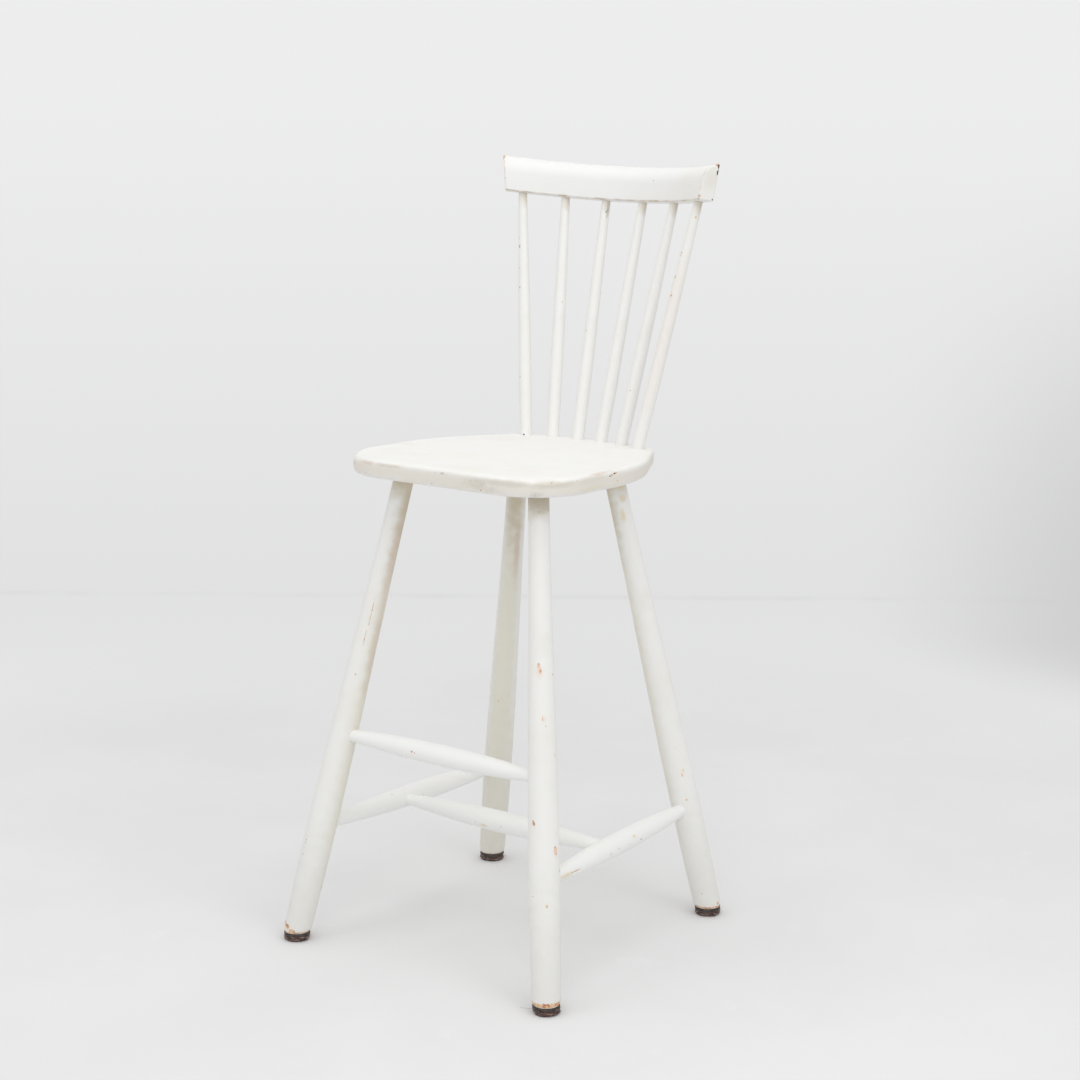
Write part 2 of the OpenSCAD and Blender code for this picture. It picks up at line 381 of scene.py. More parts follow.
@dataclass
class Film:
    """A film over the paint: its marks, colour and strength, how much it breaks into flecks
    and how softly it ends."""
    marks: list
    colour: tuple
    strength: float
    flecks: float = 0.0
    softness: float = 0.5


def tinted(coat, coords, scale, detail, low, high, strength, tint):
    """The coat with a tint in cloudy patches."""
    share = step_from(cloud(coords, scale, detail), low, high, 0, strength)
    return blend(share, coat, tint)


def filmed(coat, own, lumpy, film):
    uneven = times(lumpy, 1.3 if film.flecks else 0.6)
    near = plus(nearest_mark(own, film.marks), uneven)
    share = step_from(near, 0.75 + film.softness, 0.75 - film.softness, 0, film.strength)
    if film.flecks:
        flecks = step_from(cloud(own, 430, 4, 0.7), 0.47, 0.6, 1 - film.flecks, 1)
        share = times(share, flecks)
    return blend(share, coat, film.colour)


def fine_specks(own):
    """Pinholes and spatter, dark or rusty, few and far between."""
    cells = after(own, "TexVoronoi", {"Vector": own, "Scale": 62})
    pick = after(own, "SeparateColor", {0: cells.outputs["Color"]})
    chosen = maths("GREATER_THAN", pick.outputs[0], 0.9)
    size = times(pick.outputs[1], 0.05)
    return times(chosen, maths("LESS_THAN", cells.outputs["Distance"], size))


def edge_line_share(own, lumpy, radius):
    """A thin, broken line at zero height along a bent piece's edge of the given radius."""
    outwards = length_of(mapped(own, Scale=(1, 1, 0)))
    apart = after(own, "CombineXYZ", {0: minus(outwards, radius), 1: height_of(own)})
    away = plus(length_of(apart.outputs[0]), times(lumpy, 0.0022))
    line = step_from(away, 0.0022, 0.0007, 0, 0.85)
    return times(line, step_from(cloud(own, 60, 3), 0.38, 0.62, 0.25, 1))


def white_paint(name, place, chips, films, dark=(), grain=(6, 6, 1), rubbed_end=0.0, edge_line=0.0):
    """Old satin white paint. Chips show bare wood and old red paint, dark marks are dirty knocks and
    films are stains, grime, rubbing, painted shade and painted light. A leg may be rubbed bare up to a
    height above its glide, and a bent piece may have a thin brown line along its edge of the given
    radius."""
    material, tree = new_material(name)
    own = place_coords(tree, place)
    ragged = minus(cloud(own, 420, 3, 0.6), 0.5)
    lumpy = minus(cloud(own, 95, 2), 0.5)
    broken = plus(times(ragged, 1.5), times(lumpy, 1.1))
    strokes = cloud(mapped(own, Scale=grain), 70, 4, 0.6)

    def lost_paint(marks):
        return step_from(plus(nearest_mark(own, marks), broken), 1.0, 0.82)

    # the coat of paint: warm white, unevenly yellowed, faintly pink and green in places
    coat = tinted(PAINT, own, 13, 3, 0.47, 0.78, 0.6, YELLOWED)
    elsewhere = mapped(own, Location=(3.1, 1.7, 0.6))
    coat = tinted(coat, elsewhere, 16, 3, 0.5, 0.8, 0.6, PINKISH)
    elsewhere = mapped(own, Location=(7.3, 4.2, 2.6))
    coat = tinted(coat, elsewhere, 22, 4, 0.55, 0.8, 0.5, GREENISH)
    coat = blend(step_from(strokes, 0.35, 0.9, 0, 0.25), coat, YELLOWED)
    for film in films:
        coat = filmed(coat, own, lumpy, film)
    coat = blend(times(fine_specks(own), 0.65), coat, RUSTY)

    # what the lost paint shows
    under = blend(step_from(cloud(own, 230, 3), 0.40, 0.56), OLD_RED, BARE_WOOD)
    under = blend(step_from(strokes, 0.35, 0.7, 0, 0.45), under, PALE_WOOD)
    lost = lost_paint(chips)
    if rubbed_end:
        level = minus(height_of(object_coords(tree)), glide_h)
        reach = plus(level, times(broken, rubbed_end * 0.7))
        lost = maths("MAXIMUM", lost, step_from(reach, rubbed_end, rubbed_end * 0.85))
    colour = blend(lost, coat, under)
    if rubbed_end:
        colour = blend(step_from(level, 0.0011, 0.0007, 0, 0.85), colour, RUBBED_RIM)
    if edge_line:
        colour = blend(edge_line_share(own, lumpy, edge_line), colour, EDGE_LINE)
    if dark:
        knocked = lost_paint(dark)
        colour = blend(knocked, colour, DARK_WOOD)
        lost = maths("MAXIMUM", lost, knocked)

    rough = step_from(cloud(own, 38, 3), 0.3, 0.7, 0.36, 0.52)
    rough = maths("ADD", rough, times(lost, 0.36), clamp=True)
    relief = minus(times(strokes, 0.5), lost)
    relief = plus(relief, times(cloud(own, 900, 2), 0.12))
    coated(tree, colour, relief, 0.55, 0.00022, {"Roughness": rough, "Specular IOR Level": 0.42})
    return material


# Colours of the feet
PLASTIC = (0.022, 0.015, 0.012, 1)
WORN_PLASTIC = (0.075, 0.058, 0.05, 1)
SCUFFED_PLASTIC = (0.22, 0.19, 0.17, 1)
DARK_FELT = (0.020, 0.010, 0.008, 1)
FELT = (0.13, 0.068, 0.052, 1)
DUSTY_FELT = (0.40, 0.25, 0.205, 1)
STEEL = (0.50, 0.48, 0.45, 1)


def worn_plastic(name):
    """The glides: dull black-brown plastic, scuffed grey and clogged with floor dirt."""
    material, tree = new_material(name)
    own = object_coords(tree)
    colour = blend(step_from(cloud(own, 240, 4), 0.4, 0.7), PLASTIC, WORN_PLASTIC)
    scuffs = cloud(mapped(own, Scale=(1, 1, 7)), 330, 4)
    colour = blend(step_from(scuffs, 0.56, 0.7, 0, 0.55), colour, SCUFFED_PLASTIC)
    rough = step_from(scuffs, 0.3, 0.7, 0.42, 0.72)
    coated(tree, colour, scuffs, 0.5, 0.0003, {"Roughness": rough})
    return material


def matted_felt(name):
    """The felts: red-brown wool, matted in layers and grey with dust."""
    material, tree = new_material(name)
    own = object_coords(tree)
    fibres = cloud(mapped(own, Scale=(1, 1, 2.5)), 210, 5, 0.75)
    colour = blend(step_from(fibres, 0.44, 0.62), DARK_FELT, FELT)
    streaks = cloud(mapped(own, Scale=(1, 1, 6)), 130, 4, 0.7)
    colour = blend(step_from(streaks, 0.51, 0.59, 0, 0.8), colour, DUSTY_FELT)
    coated(tree, colour, fibres, 0.9, 0.0006, {"Roughness": 0.95, "Sheen Weight": 0.3})
    return material


def dull_steel(name):
    """The nails: plain steel, brushed by the hammer and tarnished."""
    material, tree = new_material(name)
    tarnish = cloud(object_coords(tree), 500, 4)
    colour = blend(step_from(tarnish, 0.4, 0.7), STEEL, RUSTY)
    rough = step_from(tarnish, 0.3, 0.7, 0.32, 0.65)
    coated(tree, colour, tarnish, 0.3, 0.0002, {"Roughness": rough, "Metallic": 1.0})
    return material


# ---- Pieces ----

def new_object(name, data):
    made = bpy.data.objects.new(name, data)
    bpy.context.collection.objects.link(made)
    return made


def new_mesh(name, bm):
    mesh = bpy.data.meshes.new(name)
    bm.to_mesh(mesh)
    bm.free()
    return mesh


def finished(name, bm, material, node):
    """Makes the piece from its mesh, in place of its CAD node."""
    mesh = new_mesh(name, bm)
    piece = new_object(name, mesh)
    mesh.materials.append(material)
    mesh.shade_smooth()
    mesh.set_sharp_from_angle(angle=SHARP_ANGLE)
    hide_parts(node)
    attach(piece, "root")


def whole(bm):
    return bm.verts[:] + bm.edges[:] + bm.faces[:]


def rounded(bm, geom, size, steps, kind="EDGES"):
    bmesh.ops.bevel(bm, geom=geom, offset=size, segments=steps, profile=0.5, affect=kind, material=-1)


def cut_off(bm, at, outwards, snap=1e-7):
    """Cuts away what lies beyond a plane, closes the cut and gives its rim."""
    cut = bmesh.ops.bisect_plane(bm, geom=whole(bm), dist=snap, plane_co=at, plane_no=outwards,
                                 clear_outer=True)
    rim = [g for g in cut["geom_cut"] if isinstance(g, bmesh.types.BMEdge)]
    bmesh.ops.edgeloop_fill(bm, edges=rim)
    return rim


def spun(outline, around=64):
    """A solid turned from its outline, given as (radius, height) from its lower end to its upper."""
    bm = bmesh.new()
    points = [bm.verts.new((r, 0, h)) for r, h in outline]
    for a, b in zip(points, points[1:]):
        bm.edges.new((a, b))
    bmesh.ops.spin(bm, geom=bm.verts[:] + bm.edges[:], cent=(0, 0, 0), axis=(0, 0, 1),
                   angle=math.tau, steps=around, use_merge=True)
    bmesh.ops.remove_doubles(bm, verts=bm.verts[:], dist=1e-6)
    bmesh.ops.recalc_face_normals(bm, faces=bm.faces[:])
    return bm


def hand_finish(bm, seed, amount=0.00012, scale=28):
    """The slight unevenness of hand work and brushed paint."""
    shift = Vector((seed * 3.7, seed * 1.3, seed * 2.1))
    bm.normal_update()
    moves = [(v, v.normal * noise.noise(v.co * scale + shift) * amount) for v in bm.verts]
    for v, move in moves:
        v.co += move


def knocks(bm, marks):
    """Presses each mark's hollow into the surface, on a finer mesh."""
    for mark in marks:
        if not mark.depth:
            continue
        turn = Matrix.Rotation(mark.turn[2], 3, "Z").inverted()

        def away(v):
            p = turn @ (v.co - mark.middle)
            return math.sqrt(sum((p[k] / mark.size[k]) ** 2 for k in range(3)))

        reach = 1.0 + 0.004 / max(mark.size)
        near = [e for e in bm.edges if all(away(v) < reach for v in e.verts)]
        if near:
            bmesh.ops.subdivide_edges(bm, edges=near, cuts=2, use_grid_fill=True)
        bm.normal_update()
        for v in bm.verts:
            d = away(v) + 0.5 * noise.noise(v.co * 300)
            if d < 1:
                v.co -= v.normal * mark.depth * smooth(1 - max(d, 0) ** 2)
    many_sided = [f for f in bm.faces if len(f.verts) > 4]
    bmesh.ops.triangulate(bm, faces=many_sided, quad_method="BEAUTY", ngon_method="BEAUTY")


def turned(name, node, outline, material, place, seed, marks):
    bm = spun(outline)
    hand_finish(bm, seed)
    knocks(bm, marks)
    bm.transform(place)
    finished(name, bm, material, node)


def stray_chips(seed, count, radius_at, low, high, away_from=40):
    """A few more small chips round the sides that the listed ones leave out."""
    rng = random.Random(seed)
    return [round_mark(radius_at, rng.uniform(low, high), away_from + rng.uniform(70, 250),
                       rng.uniform(0.9, 2.4), rng.uniform(1.2, 5.5)) for _ in range(count)]


# ---- Legs ----

def leg_shape(end, side):
    """Radius of a leg at a height along it, and the leg's length from its glide to the seat."""
    length = (leg_top(end, side) - foot(end, side)).length

    def radius_at(h):
        t = max(h / length, 0)
        if t < leg_swell:
            return mix(leg_max_d, leg_foot_d, ((leg_swell - t) / leg_swell) ** 2) / 2
        return mix(leg_top_d, leg_max_d, smooth(max(1 - t, 0) / (1 - leg_swell))) / 2

    return radius_at, length


# Each leg's wear: the facing of its inner side, which is painted with warm shade and yellowing, how
# high its foot is rubbed bare (in metres), then its chips and its four kinds of stain. A mark has its
# height up the leg in millimetres, facing, width and height, and a 0 where it isn't pressed in.
LEG_WEAR = {
    "front_left": (225, 0.0054, [
        (341, 25, 1.3, 3), (334.5, 34, 1.2, 3), (331, 100, 1.3, 3.5), (286, 39, 1.4, 3),
        (279, 53, 1.1, 2), (249, 96, 1.1, 3.5), (184, -5, 1.8, 2.4), (181, -2, 3, 4.2),
        (157, 82, 1.8, 2.6), (151, 90, 1.3, 2), (99, 45, 1.7, 3.4)],
        [(340, 26, 4.6, 7), (334.5, 33, 4.2, 7), (287, 40, 1.6, 8), (154, 85, 6, 12)],
        [(300, 220, 12, 120)],
        [(420, 200, 12, 30)],
        [(333, 30, 8, 14), (286, 45, 6, 8), (181, -3, 6, 8), (153, 86, 8, 16)]),
    "front_right": (112, 0.0024, [
        (362, 33, 0.9, 34, 0), (336, 29, 0.6, 26, 0), (295, 27, 1.4, 1.6), (105, -17, 1.2, 4),
        (101, -18, 1.1, 4), (88, -17, 0.9, 2), (6, -34, 5, 7), (4, -14, 8, 7), (1.5, 12, 9, 5)],
        [(295, 27, 2, 2.4)],
        [(425, 88, 17, 150), (330, 92, 14, 150)],
        [(260, 200, 10, 60)],
        [(25, -25, 8, 16)]),
    "rear_left": (-62, 0.0030, [
        (192, 44, 1.2, 1.4), (131, 44, 2, 2.4), (20, 24, 1.2, 1.8), (3, 88, 4, 4)],
        [(160, 48, 3, 5)],
        [(440, -70, 12, 90)],
        [(490, 66, 12, 9), (476, 58, 8, 10), (458, 40, 6, 18), (165, 56, 3.4, 6)],
        [(430, 170, 12, 40)]),
    "rear_right": (30, 0.0016, [
        (210, 20, 1.2, 3), (62, 50, 1.4, 3), (3, 60, 8, 4)],
        [(120, 200, 3, 5)],
        [(400, 60, 8, 90)],
        [(430, 140, 10, 40)],
        [(300, 170, 10, 40)]),
}
# The colour, strength and softness of the four kinds of stain
LEG_STAINS = ((SALMON, 0.8, 0.2), (RUBBED_TAN, 0.5, 0.5), (OCHRE, 0.6, 0.5), (RUBBED_PINK, 0.3, 0.5))


def leg_films(name, radius_at, length, inner, stains):
    """Dirt, rubbing and painted shade on a leg, each over the one before."""
    tall = length / MM
    # the top and the upper inner side get dirt and the seat's painted shade
    top_dirt_and_shade = [Mark((0, 0, length), (0.05, 0.05, 0.032)), round_mark(radius_at, tall, inner, 30, 230)]
    # the inner side is painted with warm shade and yellowing
    films = [Film([round_mark(radius_at, 0.5 * tall, inner, 34, 1.5 * tall)], INNER_SHADE_AND_YELLOWING, 0.9),
             Film(top_dirt_and_shade, LEG_TOP_DIRT_AND_SHADE, 1.0)]
    for rows, (colour, strength, softness) in zip(stains, LEG_STAINS):
        films.append(Film(round_marks(radius_at, rows), colour, strength, softness=softness))
    films.append(Film([Mark((0, 0, 0), (0.05, 0.05, 0.13))], DUSTY, 0.75))
    # front_left also gets a band of painted shade just under the seat
    if name == "front_left":
        ring = Mark((0, 0, length), (0.03, 0.03, 0.034))
        films.append(Film([ring], LEG_TOP_SHADE_RING, 0.4, softness=0.1))
    if name == "rear_right":
        films.append(Film([Mark((0, 0, 0.08), (0.05, 0.05, 0.16))], LOW_SHADE, 0.7))
    return films


def draw_in_foot(bm, end, side):
    """Narrows a leg's worn end a little towards its glide."""
    ring = [e for e in bm.edges if all(v.co.z < glide_h + foot_taper_h for v in e.verts)]
    bmesh.ops.subdivide_edges(bm, edges=[e for e in ring if e.calc_length() > 0.0025], cuts=2)
    for v in bm.verts:
        up = (v.co.z - glide_h) / foot_taper_h
        if up < 1:
            middle = on_leg(end, side, v.co.z)
            out = Vector((v.co.x - middle.x, v.co.y - middle.y, 0))
            v.co -= out * foot_taper * (1 - up) ** 2


def build_leg(end, side):
    name = f"{end}_{side}"
    low = foot(end, side)
    high = leg_top(end, side)
    radius_at, length = leg_shape(end, side)
    place = along(low, high, FRONT)
    tenon = leg_socket * length / (high.z - low.z)
    inner, rubbed_end, chips, *stains = LEG_WEAR[name]
    chips = round_marks(radius_at, chips)
    chips += stray_chips(len(name) * 7 + SIDES[side], 9, radius_at, 12, 420)
    material = white_paint(f"leg paint {name}", place, chips=chips,
                           films=leg_films(name, radius_at, length, inner, stains),
                           rubbed_end=rubbed_end)
    steps = 130
    outline = [(0, -leg_spare), (leg_foot_d / 2, -leg_spare)]
    outline += [(radius_at(length * k / steps), length * k / steps) for k in range(steps + 1)]
    outline += [(leg_top_d / 2, length + tenon), (0, length + tenon)]
    bm = spun(outline)
    hand_finish(bm, len(name) + SIDES[side])
    knocks(bm, chips)
    bm.transform(place)
    # the foot is cut level with the glide, and its rim is a little rubbed
    rim = cut_off(bm, (0, 0, glide_h), (0, 0, -1), 1e-6)
    rounded(bm, rim, foot_rim_r, 3)
    draw_in_foot(bm, end, side)
    bmesh.ops.recalc_face_normals(bm, faces=bm.faces[:])
    finished(f"turned_leg_{name}", bm, material, f"leg_{name}")


# ---- Stretchers ----

def bar_shape(length, end_d, mid_d, straight, past):
    """Radius of a turned bar at a distance along it, and its outline between its tenons' ends."""
    def radius_at(h):
        t = min(max((h - straight) / (length - 2 * straight), 0), 1)
        return mix(end_d, mid_d, 1 - (2 * t - 1) ** 2) / 2

    steps = 80
    outline = [(0, -past), (end_d / 2, -past)]
    outline += [(radius_at(h), h) for h in
                (mix(straight / 2, length - straight / 2, k / steps) for k in range(steps + 1))]
    outline += [(end_d / 2, length + past), (0, length + past)]
    return radius_at, outline


def build_bar(node, start, end, end_d, mid_d, straight, past, seed, chips, stains=()):
    length = (end - start).length
    radius_at, outline = bar_shape(length, end_d, mid_d, straight, past)
    place = along(start, end, UP)
    chips = round_marks(radius_at, chips)
    chips += stray_chips(seed, 5, radius_at, 25, length / MM - 25, 60)
    # the whole bar is painted lighter, as painted light
    films = [Film([Mark((0, 0, length / 2), (1, 1, 1))], BAR_PAINTED_LIGHT, 0.9),
             Film(round_marks(radius_at, stains), OCHRE, 0.65)]
    material = white_paint(f"{node} paint", place, chips=chips, films=films)
    turned(f"turned_{node}", node, outline, material, place, seed, chips)


def build_stretchers():
    build_bar("foot_rail", on_leg("front", "right", rail_z), on_leg("front", "left", rail_z),
              rail_end_d, rail_mid_d, neck, tenon_past, 11, [(103, 84, 2.0, 2.4), (107, 88, 1.4, 2)])
    side_wear = (
        ("left", 12, [(111, 93, 1.6, 2), (127, 88, 1.4, 2), (173, 98, 1.5, 3), (45, 92, 1.1, 46)],
         [(160, 63, 5, 9), (30, 95, 6, 30)]),
        ("right", 13, [(104, 30, 1.1, 1.6)], [(60, 200, 6, 18)]))
    for side, seed, chips, stains in side_wear:
        build_bar(f"side_stretcher_{side}", on_leg("front", side, side_front_z),
                  on_leg("rear", side, side_rear_z), low_end_d, low_mid_d, neck, tenon_past,
                  seed, chips, stains)
    build_bar("cross_stretcher", cross_end("right"), cross_end("left"), cross_tenon_d, low_mid_d,
              cross_neck, cross_past, 14, [(114, 103, 1.2, 2)], [(124, 112, 5, 12)])


# ---- Spindles ----

SPINDLE_CHIPS = {  # by the spindle's number, each as on the legs
    1: [(221, -17, 1.1, 1.5), (211, -17, 2.2, 4.5), (187, -15, 1.5, 2), (165, -14, 1.4, 2),
        (65, -18, 1.2, 2)],
    2: [(150, 60, 1, 1.6)],
    3: [(120, -10, 0.9, 1.4)],
    4: [(90, 20, 0.9, 1.2)],
    5: [(60, 10, 1, 1.5)],
    6: [(255, 44, 1.7, 2.4), (215, -25, 2.8, 3.4), (212, -34, 1.6, 4), (189, -26, 2.6, 4.4),
        (172, -22, 1, 1.2), (169, -16, 2.2, 3.2)],
}
SPINDLE_DARK = {
    1: [(0, 16, 1.8, 1.8)],
    3: [(253, 47, 1.0, 1.8)],
}


def build_spindle(i):
    start = spindle_foot(i)
    end = spindle_head(i)
    length = (end - start).length

    def radius_at(h):
        t = min(max((h - spindle_neck) / (length - 2 * spindle_neck), 0), 1)
        if t < spindle_swell:
            return mix(spindle_seat_d, spindle_max_d, smooth(t / spindle_swell)) / 2
        upper = (t - spindle_swell) / (1 - spindle_swell)
        return mix(spindle_max_d, spindle_top_d, upper ** 1.7) / 2

    place = along(start, end, FRONT)
    chips = round_marks(radius_at, SPINDLE_CHIPS[i])
    chips += stray_chips(40 + i, 4, radius_at, 15, length / MM - 20)
    dark = round_marks(radius_at, SPINDLE_DARK.get(i, []))
    top = length / MM
    # the top's shaded side under the crest rail gets dirt and painted shade
    under_rail = round_marks(radius_at, [(top, 75, 16, 30), (top, 75, 18, 12)])
    films = [Film(under_rail, SPINDLE_TOP_DIRT_AND_SHADE, 0.6)]
    if i == 3:
        films.append(Film([round_mark(radius_at, 254, 68, 3.4, 18)], OLIVE_GRIME, 0.75, 0.4))
    if i == 6:
        films.append(Film([round_mark(radius_at, 130, 20, 30, 230)], RUBBED_PINK, 0.13))
    material = white_paint(f"spindle {i} paint", place, chips=chips, dark=dark, films=films)
    steps = 90
    outline = [(0, -seat_tenon), (spindle_seat_d / 2, -seat_tenon)]
    outline += [(radius_at(length * k / steps), length * k / steps) for k in range(steps + 1)]
    outline += [(spindle_top_d / 2, length + crest_tenon), (0, length + crest_tenon)]
    turned(f"turned_spindle_{i}", f"spindle_{i}", outline, material, place, i, chips)


# ---- Seat ----

SEAT_CHIPS = flat_marks(  # place, then length, depth and height, then turn and how far pressed in
    (142, -43, 525.2, 5, 6, 2.2, 0, 0.5),
    (142, -36, 526.2, 5, 8, 1.8, 0, 0.5),
    (142, -33, 518, 3, 1.6, 1.4),
    (140.8, -102, 528, 3, 1.6, 1.4),
    (129, -129, 529, 2.4, 2.4, 1.6),
    (-90, -154.5, 519, 1.6, 3, 1.2),
    (-1, -157, 518, 1.6, 3, 1.2),
    (62, -157, 518, 1.8, 3, 1.8),
)
SEAT_DARK = flat_marks(
    (142, -46, 524.6, 5, 5, 1.5),
    (142, -38, 526.0, 5, 5, 1.4),
    (129.4, -128.8, 529, 2, 2, 1.3),
)
SEAT_FILMS = [
    # painted shade along the seat's upright edge all round
    Film([Mark((0, 0, seat_height - 0.0105), (0.7, 0.7, 0.0085), (radians(-seat_slope), 0, 0))],
         WARM_SHADE, 0.85),  # the edge all round
    Film(flat_marks((-92, -155, 530, 46, 12, 5), (-58, -157, 530, 34, 9, 4),
                    (-122, -137, 524, 30, 20, 7), (141, -62, 530, 9, 50, 4)),
         RUBBED_BROWN, 0.75, 0.6),
    Film(flat_marks((56, -157, 524, 34, 8, 12), (78, -155, 520, 24, 8, 8),
                    (118, -140, 517, 14, 14, 8, 35)), GRIME, 0.4, 0.6),
    # painted shade on the front-left corner's rounding
    Film(flat_marks((88, -150, 528, 110, 26, 9), (126, -128, 526.5, 60, 60, 9, 45)),
         SEAT_CORNER_SHADE, 0.8, softness=0.4),
    # painted shade on the left side
    Film(flat_marks((142, -88, 526, 22, 80, 8)), SEAT_SIDE_SHADE, 0.5),
    # painted shade on the underside and lower edge at the front
    Film(flat_marks((90, -145, 505, 150, 60, 17)), SEAT_UNDER_SHADE, 0.75),
    Film(flat_marks((12, -157, 530, 22, 6, 3.6)), DARK_GRIME, 0.5, 1.0),
    Film(flat_marks((142, -75, 517, 8, 46, 5), (-30, -157, 515, 46, 8, 5)), OCHRE, 0.25),
]


def corner_reach(before, at, after, r):
    """How far from a corner its rounding of radius r starts."""
    half = (before - at).angle(after - at) / 2
    return r / math.tan(half)


def seat_blank():
    """The seat's plank without its wear, with the upper face at zero height."""
    corners = [(-seat_half_w, -seat_front, seat_front_r, 20),
               (seat_half_w, -seat_front, seat_front_r, 20),
               (seat_half_w, seat_waist, seat_waist_r, 10),
               (seat_rear_half_w, seat_rear, seat_rear_r, 10),
               (0, seat_rear + seat_rear_bow, seat_bow_r, 14),
               (-seat_rear_half_w, seat_rear, seat_rear_r, 10),
               (-seat_half_w, seat_waist, seat_waist_r, 10)]
    bm = bmesh.new()
    verts = [bm.verts.new((x, y, -seat_thick)) for x, y, r, steps in corners]
    bm.faces.new(verts)
    reaches = [corner_reach(verts[k - 1].co, verts[k].co, verts[(k + 1) % len(verts)].co, corners[k][2])
               for k in range(len(verts))]
    for vert, reach, (x, y, r, steps) in zip(verts, reaches, corners):
        rounded(bm, [vert], reach, steps, "VERTICES")
    for longest in (0.02, 0.01, 0.005):
        long = [e for e in bm.edges if e.calc_length() > longest]
        bmesh.ops.subdivide_edges(bm, edges=long, cuts=1)
    raised = bmesh.ops.extrude_face_region(bm, geom=bm.faces[:])
    upper = [v for v in raised["geom"] if isinstance(v, bmesh.types.BMVert)]
    bmesh.ops.translate(bm, verts=upper, vec=(0, 0, seat_thick))
    bmesh.ops.recalc_face_normals(bm, faces=bm.faces[:])
    for z, size in ((0, seat_top_round), (-seat_thick, seat_under_round)):
        rim = [e for e in bm.edges if all(abs(v.co.z - z) < 1e-6 for v in e.verts)]
        rounded(bm, rim, size, 7)
    # a narrow border keeps the broad faces flat up to their rounded edges
    broad = [f for f in bm.faces if abs(f.normal.z) > 0.999]
    bmesh.ops.inset_region(bm, faces=broad, thickness=0.0004, use_even_offset=True)
    return bm


def wear_front_corners(bm):
    """Wears the seat's upper edge rounder at the front corners."""
    upper = [f for f in bm.faces if f.normal.z > 0.999 and f.calc_area() > 0.01]
    for _ in range(5):
        bmesh.ops.inset_region(bm, faces=upper, thickness=0.0032, use_even_offset=True)
    for v in bm.verts:
        out = Vector((abs(v.co.x) - seat_half_w + seat_front_r, seat_front_r - seat_front - v.co.y))
        if min(out) > 0 and v.co.z > -corner_wear_h:
            inwards = (seat_front_r - out.length) / corner_wear_w
            if inwards < 1:
                round_share = (2 * out.x * out.y / out.length_squared) ** 2
                fading = (1 - max(inwards, 0)) ** 2 * smooth(1 + v.co.z / corner_wear_h)
                v.co.z -= corner_wear * round_share * fading


def shape_underside(bm):
    """Runs the underside's rounding in further at the back than at the front."""
    bm.normal_update()
    for v in bm.verts:
        up = v.co.z + seat_thick
        out = Vector((v.normal.x, v.normal.y, 0))
        if up < seat_under_round - 1e-6 and out.length > 1e-3:
            rise = seat_under_round - up
            inset = seat_under_round - math.sqrt(max(seat_under_round ** 2 - rise ** 2, 0))
            share = (v.co.y + seat_front) / (seat_front + seat_rear)
            wanted = inset * mix(under_in_front, under_in_rear, share) / seat_under_round
            v.co += out.normalized() * (inset - wanted)


def divide_seat(bm):
    """Cuts the upright band and both broad faces into smaller faces."""
    for z in (-0.0115, -0.0095, -0.0075, -0.006):
        bmesh.ops.bisect_plane(bm, geom=whole(bm), dist=1e-7, plane_co=(0, 0, z), plane_no=(0, 0, 1))
    lines = 23
    for axis, low, high in ((0, -0.132, 0.132), (1, -0.144, 0.132)):
        for k in range(lines):
            at = Vector()
            across = Vector()
            at[axis] = mix(low, high, k / (lines - 1))
            across[axis] = 1
            broad = [f for f in bm.faces if abs(f.normal.z) > 0.999]
            geom = list({e for f in broad for e in f.edges}) + list({v for f in broad for v in f.verts})
            bmesh.ops.bisect_plane(bm, geom=geom + broad, dist=1e-7, plane_co=at, plane_no=across)


def stray_seat_chips():
    """Small chips on the seat's upper face, right edge and rear edge."""
    rng = random.Random(8)
    strays = [flat_mark(rng.uniform(-110, 110), rng.uniform(-130, 110), seat_height / MM, 1.6, 2.2, 8,
                        rng.uniform(0, 180)) for _ in range(6)]
    strays += [flat_mark(-142, rng.uniform(-105, -10), rng.uniform(514, 530), 3, rng.uniform(1.5, 6), 2)
               for _ in range(7)]
    strays += [flat_mark(rng.uniform(-70, 70), 136, rng.uniform(508, 524), rng.uniform(1.5, 6), 7, 1.8)
               for _ in range(5)]
    return strays


def build_seat():
    bm = seat_blank()
    wear_front_corners(bm)
    shape_underside(bm)
    divide_seat(bm)
    hand_finish(bm, 5, 0.00018, 16)
    slope = Matrix.Rotation(radians(-seat_slope), 4, "X")
    bm.transform(Matrix.Translation((0, 0, seat_height)) @ slope)
    knocks(bm, SEAT_CHIPS)
    material = white_paint("seat paint", Matrix.Identity(4), chips=SEAT_CHIPS + stray_seat_chips(),
                           films=SEAT_FILMS, dark=SEAT_DARK, grain=(6, 1, 6))
    finished("plank_seat", bm, material, "seat")


# ---- Crest rail ----

CREST_CHIPS = flat_marks(
    (-141.4, 149.8, 827, 4.4, 14, 12, 37.5),
    (-128.2, 134, 794, 3, 3, 3.6, 37.5),
    (140.5, 147.5, 831, 7, 15, 5, -37.5, 0.5),
    (127.4, 135, 796.5, 6, 6, 3.8, -37.5, 0.3),
    (-118, 145, 790.5, 2.4, 3, 1.6, 30),
    (60, 177, 782.5, 24, 3, 2.2, -16),
    (-48, 179, 782.5, 16, 3, 2, 12),
)
CREST_DARK = flat_marks(
    (143.6, 151.2, 825, 4.4, 4.4, 11),
    (142.6, 150.3, 818.5, 3.8, 3.8, 15),
    (137.9, 147.2, 792.2, 2.6, 2.6, 2.2),
    (42, 179, 807, 1.4, 3, 1.3),
    (136.5, 142, 816, 1.5, 1.5, 0.9),
    (-130, 137, 806, 2, 3, 1.2),
)
CREST_RUBBED = flat_marks(
    (-134.5, 139.5, 825, 9, 9, 10, 37.5),
    (-131.3, 136.4, 817, 8, 8, 20, 37.5),
    (-128, 134, 796, 6, 6, 10, 37.5),
    (129, 136, 806, 6, 6, 16, -37.5),
)
CREST_WHITER = flat_marks((-50, 160, 815, 320, 160, 90))
